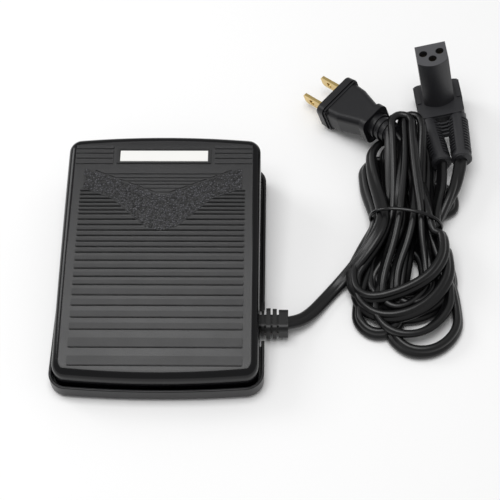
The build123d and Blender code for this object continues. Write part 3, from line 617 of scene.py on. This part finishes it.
face_mesh = bmesh.new()
nose_outline = [(-nose_half, nose_low), (-nose_half, nose_top), (nose_half, nose_top), (nose_half, nose_low)]
for index in range(1, chin_steps):
    nose_outline.append((nose_half - 2 * nose_half * index / chin_steps,
                         nose_low - chin * (1 - (1 - 2 * index / chin_steps) ** 2)))
socket_angles = [math.tau * index / socket_steps for index in range(socket_steps)]
socket_outlines = [[(x + socket_radius * math.cos(angle), y + socket_radius * math.sin(angle))
                    for angle in socket_angles] for x, y in socket_places]
face_edges = []
for outline in [nose_outline] + socket_outlines:
    verts = [face_mesh.verts.new(connector_matrix @ (Vector((x, y, face_z)) * MM)) for x, y in outline]
    face_edges += [face_mesh.edges.new((verts[index - 1], verts[index])) for index in range(len(verts))]
bmesh.ops.triangle_fill(face_mesh, edges=face_edges, use_beauty=True)
finish_detail(face_mesh, "socket_face", socket_face_pvc)

block_in, block_out, block_bevel = 8.0, 11.3, 0.7
shoulders = bmesh.new()
for side in (-1, 1):
    low_x, high_x = sorted((side * block_in, side * block_out))
    add_block(shoulders, connector_matrix, (low_x, -4.0, -8.6), (high_x, 9.3, 0.5))
add_block(shoulders, connector_matrix, (-10.2, -13.4, -7.6), (10.2, -12.6, -1.2))
bmesh.ops.bevel(shoulders, geom=shoulders.edges[:], offset=block_bevel * MM, segments=2, affect="EDGES")
finish_detail(shoulders, "connector_shoulders", connector_pvc)

# %% The plug's step and boot rings
flange_bevel, boot_rings, boot_start, boot_pitch, boot_half = 0.9, 3, 30.6, 2.9, 0.75
boot_inner, boot_outer, inner_taper, outer_taper = 4.8, 6.3, 0.3, 0.35

plug_mesh = bmesh.new()
add_block(plug_mesh, plug_matrix, (3.6, -11.7, -7.2), (6.4, 11.7, 7.2))
bmesh.ops.bevel(plug_mesh, geom=plug_mesh.edges[:], offset=flange_bevel * MM, segments=2, affect="EDGES")
for index in range(boot_rings):
    boot_radii = (boot_inner - inner_taper * index, boot_outer - outer_taper * index)
    add_band(plug_mesh, plug_matrix, Vector((boot_start + boot_pitch * index, 0, 0)), Vector((1, 0, 0)),
             Vector((0, 1, 0)), boot_radii, boot_half, 0, ring_stop)
finish_detail(plug_mesh, "plug_steps", plug_pvc)

# %% [markdown]
# ## The cover
# The cover is one shell: a plan with bowed ends, a top that is curved from heel to toe only, rounded
# shoulders and upright walls. Rings of points are taken round the plan at one inset after another,
# and the top is closed with strips from side to side, so that its reflections stay straight.

# %% The cover's rule
cover_width, cover_length, cover_corner, end_bow = 88.0, 118.0, 6.0, 2.2
heel_height, toe_height, crown = 16.3, 33.5, 1.3
shoulder_radius, shell_wall = 3.5, 2.0
hinge_y, skirt_heel, press_slope = -47.0, 3.6, math.tan(math.radians(4.5))
end_steps, corner_steps, side_steps = 12, 8, 24


def top_height(y):
    """The cover's top line, in mm."""
    t = (y + cover_length / 2) / cover_length
    return heel_height + (toe_height - heel_height) * t + 4 * crown * t * (1 - t)


def skirt_height(y):
    """The skirt's lower edge, in mm: it rises towards the toe to leave room for the press."""
    return skirt_heel + max(0, y - hinge_y) * press_slope


def half_plan(inset):
    """The right half of the plan, from the middle of the heel to the middle of the toe."""
    half, end, corner = cover_width / 2 - inset, cover_length / 2 - inset, max(0.8, cover_corner - inset)
    flat = half - corner
    quarter = []
    for index in range(end_steps + 1):
        x = flat * index / end_steps
        quarter.append((x, -end + end_bow * (x / half) ** 2))
    lean = math.atan(2 * end_bow * flat / half ** 2)
    start_y = quarter[-1][1]
    for index in range(1, corner_steps + 1):
        angle = lean + (math.pi / 2 - lean) * index / corner_steps
        quarter.append((flat - corner * math.sin(lean) + corner * math.sin(angle),
                        start_y + corner * math.cos(lean) - corner * math.cos(angle)))
    widest = quarter[-1][0]
    quarter = [(x * half / widest if x > flat else x, y) for x, y in quarter]
    low_y = quarter[-1][1]
    side = [(half, low_y + (-2 * low_y) * index / side_steps) for index in range(1, side_steps)]
    return quarter + side + [(x, -y) for x, y in reversed(quarter)]


def ring_of(mesh, inset, height):
    """Vertices all round the plan at an inset, at the height that height(y) gives."""
    right_half = half_plan(inset)
    left_half = [(-x, y) for x, y in reversed(right_half[1:-1])]
    return [mesh.verts.new(Vector((x, y, height(y))) * MM) for x, y in right_half + left_half]


def close_with_strips(mesh, ring):
    """Closes a ring with strips from side to side, in the piece's second finish."""
    count = len(ring)
    half = count // 2
    for index in range(half):
        left, next_left = ring[-index % count], ring[-(index + 1) % count]
        corners = []
        for vertex in (ring[index], ring[index + 1], next_left, left):
            if vertex not in corners:
                corners.append(vertex)
        mesh.faces.new(corners).material_index = 1


# %% The cover's shell
shell_mesh = bmesh.new()
shoulder_steps = 8
outer_rings = [ring_of(shell_mesh, 0.5, skirt_height),
               ring_of(shell_mesh, 0, lambda y: skirt_height(y) + 0.5)]
for index in range(shoulder_steps + 1):
    angle = math.pi / 2 * index / shoulder_steps
    outer_rings.append(ring_of(shell_mesh, shoulder_radius * (1 - math.cos(angle)),
                               lambda y: top_height(y) - shoulder_radius * (1 - math.sin(angle))))
inner_rings = [ring_of(shell_mesh, shell_wall - 0.1, skirt_height),
               ring_of(shell_mesh, shell_wall, lambda y: skirt_height(y) + 0.3),
               ring_of(shell_mesh, shell_wall, lambda y: top_height(y) - shell_wall - 1.5),
               ring_of(shell_mesh, shell_wall + 1.5, lambda y: top_height(y) - shell_wall)]
for rings in (outer_rings, inner_rings):
    for ring, following in zip(rings, rings[1:]):
        join_rings(shell_mesh, ring, following)
    close_with_strips(shell_mesh, rings[-1])
join_rings(shell_mesh, outer_rings[0], inner_rings[0])
# The shoulders and walls take the polished finish, painted darker as painted shade; the top strips take the
# grained one.
cover_shell = piece_from(shell_mesh, "cover_shell", polished_painted_shade_abs)
cover_shell.data.materials.append(grained_abs)
cover_shell.modifiers.new("hard_edges", "EDGE_SPLIT").split_angle = math.radians(35)
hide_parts("pedal_cover")
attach(cover_shell, "pedal")
print("cover", len(cover_shell.data.polygons), "faces")

# %% [markdown]
# ## The tread
# Raised bars cross the cover, wide and far apart at the heel, fine and close towards the toe.
# They stop at a V-shaped band with a pebbled finish. The bars are drawn as flat outlines, and a
# Geometry Nodes tree gives every outline the same treatment: it raises it and lays it on the curved top.

# %% Outlines of the bars
bar_groups = [(2, 8.0, 4.2), (2, 5.45, 2.9), (2, 4.8, 2.9), (4, 3.85, 2.1), (7, 2.7, 1.5), (7, 1.95, 0.9)]
bar_start, bar_half = -53.7, 37.2


vee_foot_x, vee_foot_y = 5, 9.2
vee_knee_x, vee_knee_y = 22, 24.8
vee_end_x, vee_end_y = 36, 30.5
notch_y, notch_rise, notch_half = 26.8, 13.8, 35


def vee_low(x):
    """Lower edge of the V band at x: a flat foot, a steep side up to the knee and a gentler one beyond."""
    x = abs(x)
    if x < vee_foot_x:
        return vee_foot_y
    if x < vee_knee_x:
        return vee_foot_y + (vee_knee_y - vee_foot_y) * (x - vee_foot_x) / (vee_knee_x - vee_foot_x)
    return vee_knee_y + (vee_end_y - vee_knee_y) * (x - vee_knee_x) / (vee_end_x - vee_knee_x)


def vee_high(x):
    """Upper edge of the V band at x."""
    return notch_y + notch_rise * min(abs(x), notch_half) / notch_half


def vee_low_x(y):
    """Half width of the V band's lower edge at y, or 0 below it. It stops at the bars' ends."""
    if y <= vee_foot_y:
        return 0.0
    if y < vee_knee_y:
        return vee_foot_x + (vee_knee_x - vee_foot_x) * (y - vee_foot_y) / (vee_knee_y - vee_foot_y)
    return min(bar_half, vee_knee_x + (vee_end_x - vee_knee_x) * (y - vee_knee_y) / (vee_end_y - vee_knee_y))


def outline_face(mesh, points):
    mesh.faces.new([mesh.verts.new((x * MM, y * MM, 0)) for x, y in points])


def square_end(x, low, high):
    """A bar's right end from low to high, with its two corners just taken off."""
    return [(x - 0.35, low), (x, low + 0.3), (x, high - 0.3), (x - 0.35, high)]


vee_gap = 0.4
bars_mesh = bmesh.new()
y = bar_start
for count, pitch, width in bar_groups:
    for _ in range(count):
        low, high = y, y + width
        inner_low, inner_high = vee_low_x(low), vee_low_x(high)
        if inner_high == 0:
            right_end = square_end(bar_half, low, high)
            outline_face(bars_mesh, right_end + [(-px, py) for px, py in reversed(right_end)])
        elif inner_high < bar_half - 2:
            half_bar = [(inner_low + vee_gap, low)] + square_end(bar_half, low, high)
            half_bar.append((inner_high + vee_gap, high))
            outline_face(bars_mesh, half_bar)
            outline_face(bars_mesh, [(-px, py) for px, py in reversed(half_bar)])
        y += pitch

# %% The tree that raises outlines onto the top
def start_tree(name, entry_name, size_name):
    """A tree that takes a geometry, a size and a Finish. Returns it, its entry and the last two's inputs."""
    tree = bpy.data.node_groups.new(name, "GeometryNodeTree")
    tree.interface.new_socket(entry_name, in_out="INPUT", socket_type="NodeSocketGeometry")
    inputs = [tree.interface.new_socket(socket_name, in_out="INPUT", socket_type=kind).identifier
              for socket_name, kind in ((size_name, "NodeSocketFloat"), ("Finish", "NodeSocketMaterial"))]
    tree.interface.new_socket("Result", in_out="OUTPUT", socket_type="NodeSocketGeometry")
    return tree, add_node(tree, "NodeGroupInput"), inputs


def end_tree(tree, geometry, entry):
    """Realises the instances, gives them the Finish and ends the tree."""
    realised = add_node(tree, "GeometryNodeRealizeInstances", Geometry=geometry)
    painted = add_node(tree, "GeometryNodeSetMaterial", Geometry=realised.outputs[0],
                       Material=entry.outputs["Finish"])
    add_node(tree, "NodeGroupOutput", Result=painted.outputs[0])


def bake_tree(mesh, name, tree, inputs, size, finish):
    """Runs a tree on a mesh, with its size in mm and its Finish, and returns the result as a bmesh."""
    holder = bpy.data.objects.new(name, mesh)
    bpy.context.scene.collection.objects.link(holder)
    modifier = holder.modifiers.new("tree", "NODES")
    modifier.node_group = tree
    for identifier, value in zip(inputs, (size * MM, finish)):
        modifier[identifier] = value
    baked = bpy.data.meshes.new_from_object(holder.evaluated_get(bpy.context.evaluated_depsgraph_get()))
    bpy.data.objects.remove(holder)
    result = bmesh.new()
    result.from_mesh(baked)
    return result


raise_tree, entry, raise_inputs = start_tree("raise_on_top", "Outlines", "Rise")
extruded = add_node(raise_tree, "GeometryNodeExtrudeMesh", {"mode": "FACES"}, Mesh=entry.outputs["Outlines"],
                    Offset_Scale=entry.outputs["Rise"], Individual=False)
place = add_node(raise_tree, "GeometryNodeInputPosition")
split = add_node(raise_tree, "ShaderNodeSeparateXYZ", Vector=place.outputs[0])
# height of the top line in metres, as a quadratic in y
t_value = add_node(raise_tree, "ShaderNodeMath", {"operation": "MULTIPLY_ADD"}, _0=split.outputs["Y"],
                   _1=1 / (cover_length * MM), _2=0.5)
rest = add_node(raise_tree, "ShaderNodeMath", {"operation": "SUBTRACT"}, _0=1.0, _1=t_value.outputs[0])
arch = add_node(raise_tree, "ShaderNodeMath", {"operation": "MULTIPLY"}, _0=t_value.outputs[0],
                _1=rest.outputs[0])
ramp = add_node(raise_tree, "ShaderNodeMath", {"operation": "MULTIPLY_ADD"}, _0=t_value.outputs[0],
                _1=(toe_height - heel_height) * MM, _2=heel_height * MM)
line = add_node(raise_tree, "ShaderNodeMath", {"operation": "MULTIPLY_ADD"}, _0=arch.outputs[0],
                _1=4 * crown * MM, _2=ramp.outputs[0])
lift = add_node(raise_tree, "ShaderNodeCombineXYZ", Z=line.outputs[0])
laid = add_node(raise_tree, "GeometryNodeSetPosition", Geometry=extruded.outputs["Mesh"],
                Offset=lift.outputs[0])
end_tree(raise_tree, laid.outputs[0], entry)


def raise_outlines(mesh, name, rise, sink, finish, bevel):
    """Raises flat outlines by rise above the cover's top, from sink below it, with bevelled edges."""
    for face in mesh.faces:
        face.normal_update()
        if face.normal.z < 0:
            face.normal_flip()
    flat = bpy.data.meshes.new(name)
    mesh.to_mesh(flat)
    mesh.free()
    raised = bake_tree(flat, name + "_outlines", raise_tree, raise_inputs, rise + sink, finish)
    for vertex in raised.verts:
        vertex.co.z -= sink * MM
    bmesh.ops.recalc_face_normals(raised, faces=raised.faces)
    if bevel:
        rims = [edge for edge in raised.edges if len(edge.link_faces) == 2
                and max(face.normal.z for face in edge.link_faces) > 0.8
                and min(face.normal.z for face in edge.link_faces) < 0.5]
        bmesh.ops.bevel(raised, geom=rims, offset=bevel * MM, segments=2, affect="EDGES")
    piece = piece_from(raised, name, finish)
    piece.modifiers.new("hard_edges", "EDGE_SPLIT").split_angle = crisp_angle
    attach(piece, "pedal")
    return piece


tread_bars = raise_outlines(bars_mesh, "tread_bars", 0.8, 0.3, tread_abs, 0.22)
print("tread bars", len(tread_bars.data.polygons), "faces")

# %% The V band
vee_mesh = bmesh.new()
vee_columns = 72
for column in range(vee_columns):
    x0, x1 = (-vee_end_x + 2 * vee_end_x * (column + step) / vee_columns for step in (0, 1))
    outline_face(vee_mesh, [(x0, vee_low(x0)), (x1, vee_low(x1)), (x1, vee_high(x1)), (x0, vee_high(x0))])
bmesh.ops.remove_doubles(vee_mesh, verts=vee_mesh.verts, dist=0.001 * MM)
# The taller pebbles get a paler colour and a stronger specular: a painted glint.
pebble_painted_glint_abs = moulded("pebbled_black_abs_painted_glint", "#333338", 0.3, 0.8, 0.1, specular=0.8)
raise_outlines(vee_mesh, "vee_band", 0.25, 0.3, tread_abs, 0)

# %% The tree that puts a pebble on every point
pebble_tree, entry, pebble_inputs = start_tree("pebbles", "Places", "Radius")
ball = add_node(pebble_tree, "GeometryNodeMeshIcoSphere", Radius=entry.outputs["Radius"], Subdivisions=2)
flattened = add_node(pebble_tree, "GeometryNodeTransform", Geometry=ball.outputs["Mesh"],
                     Scale=(1.0, 1.0, 0.8))
spread = add_node(pebble_tree, "FunctionNodeRandomValue", {"data_type": "FLOAT"}, _2=0.7, _3=1.25)
pebbles = add_node(pebble_tree, "GeometryNodeInstanceOnPoints", Points=entry.outputs["Places"],
                   Instance=flattened.outputs[0], Scale=spread.outputs[1])
end_tree(pebble_tree, pebbles.outputs[0], entry)

pebble_pitch, pebble_shift, row_share, pebble_lift = 1.0, 0.3, 0.87, 0.2
pebble_rows, pebble_columns, first_row_y = 36, 76, 9.6
pebble_side, pebble_margin, high_share = 35.6, 0.3, 0.5
places = {"high": [], "low": []}
for row in range(pebble_rows):
    for column in range(pebble_columns):
        across = column - (pebble_columns - 1) / 2 + 0.5 * (row % 2)
        x = across * pebble_pitch + random.uniform(-pebble_shift, pebble_shift)
        y = first_row_y + row * pebble_pitch * row_share + random.uniform(-pebble_shift, pebble_shift)
        if abs(x) < pebble_side and vee_low(x) + pebble_margin < y < vee_high(x) - pebble_margin:
            kind = "high" if random.random() < high_share else "low"
            places[kind].append((x * MM, y * MM, (top_height(y) + pebble_lift) * MM))


def scatter_pebbles(name, points, radius, finish):
    """Bakes one pebble of about this radius, in mm, onto every point."""
    points_mesh = bpy.data.meshes.new(name + "_points")
    points_mesh.from_pydata(points, [], [])
    pebbles_mesh = bake_tree(points_mesh, name + "_points", pebble_tree, pebble_inputs, radius, finish)
    piece = piece_from(pebbles_mesh, name, finish)
    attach(piece, "pedal")
    print(name, len(points), "pebbles,", len(piece.data.polygons), "faces")


# The taller pebbles carry the painted glint; the lower ones keep the plain grained finish.
scatter_pebbles("high_pebbles_painted_glint", places["high"], 0.46, pebble_painted_glint_abs)
scatter_pebbles("low_pebbles", places["low"], 0.4, grained_abs)

# %% The fine ribs above the V and beside the label
upper_lines = [28.0, 30.0, 32.0, 33.7, 35.4, 37.4, 40.0]
label_lines = [42.8, 45.7, 48.4, 50.8, 53.2]
label_half, plate_edge, half_gap = 23.2, 40.3, 0.3
first_half, half_slope = 2.4, 2.45

ribs_mesh = bmesh.new()
for line_low, line_high in zip(upper_lines, upper_lines[1:]):
    low, high = line_low + half_gap, line_high - half_gap
    half_low, half_high = (first_half + (edge_y - upper_lines[0]) * half_slope for edge_y in (low, high))
    outline_face(ribs_mesh, [(-half_low, low), (half_low, low), (half_high, high), (-half_high, high)])
for line_low, line_high in zip(label_lines, label_lines[1:]):
    for side in (-1, 1):
        corners = rectangle(label_half, line_low + half_gap, plate_edge, line_high - half_gap)
        outline_face(ribs_mesh, [(side * px, py) for px, py in (corners if side > 0 else reversed(corners))])
raise_outlines(ribs_mesh, "fine_ribs", 0.4, 0.3, grained_abs, 0.12)

# %% The blank label and its frame
label_mesh = bmesh.new()
label_low, label_high, label_side = 44.4, 50.0, 20.0
outline_face(label_mesh, rectangle(-label_side, label_low, label_side, label_high))
blank_label = raise_outlines(label_mesh, "blank_label", 0.35, 0.3, label_white, 0.1)
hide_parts("name_plate")

frame_mesh = bmesh.new()
frame_out_x, frame_out_y, frame_in = 1.6, 1.3, 0.25
frame_rings = []
for grow_x, grow_y in ((frame_out_x, frame_out_y), (frame_in, frame_in)):
    outline = rectangle(-label_side - grow_x, label_low - grow_y, label_side + grow_x, label_high + grow_y)
    frame_rings.append([frame_mesh.verts.new((px * MM, py * MM, 0)) for px, py in outline])
join_rings(frame_mesh, *frame_rings)
raise_outlines(frame_mesh, "label_frame", 0.5, 0.3, tread_abs, 0.15)
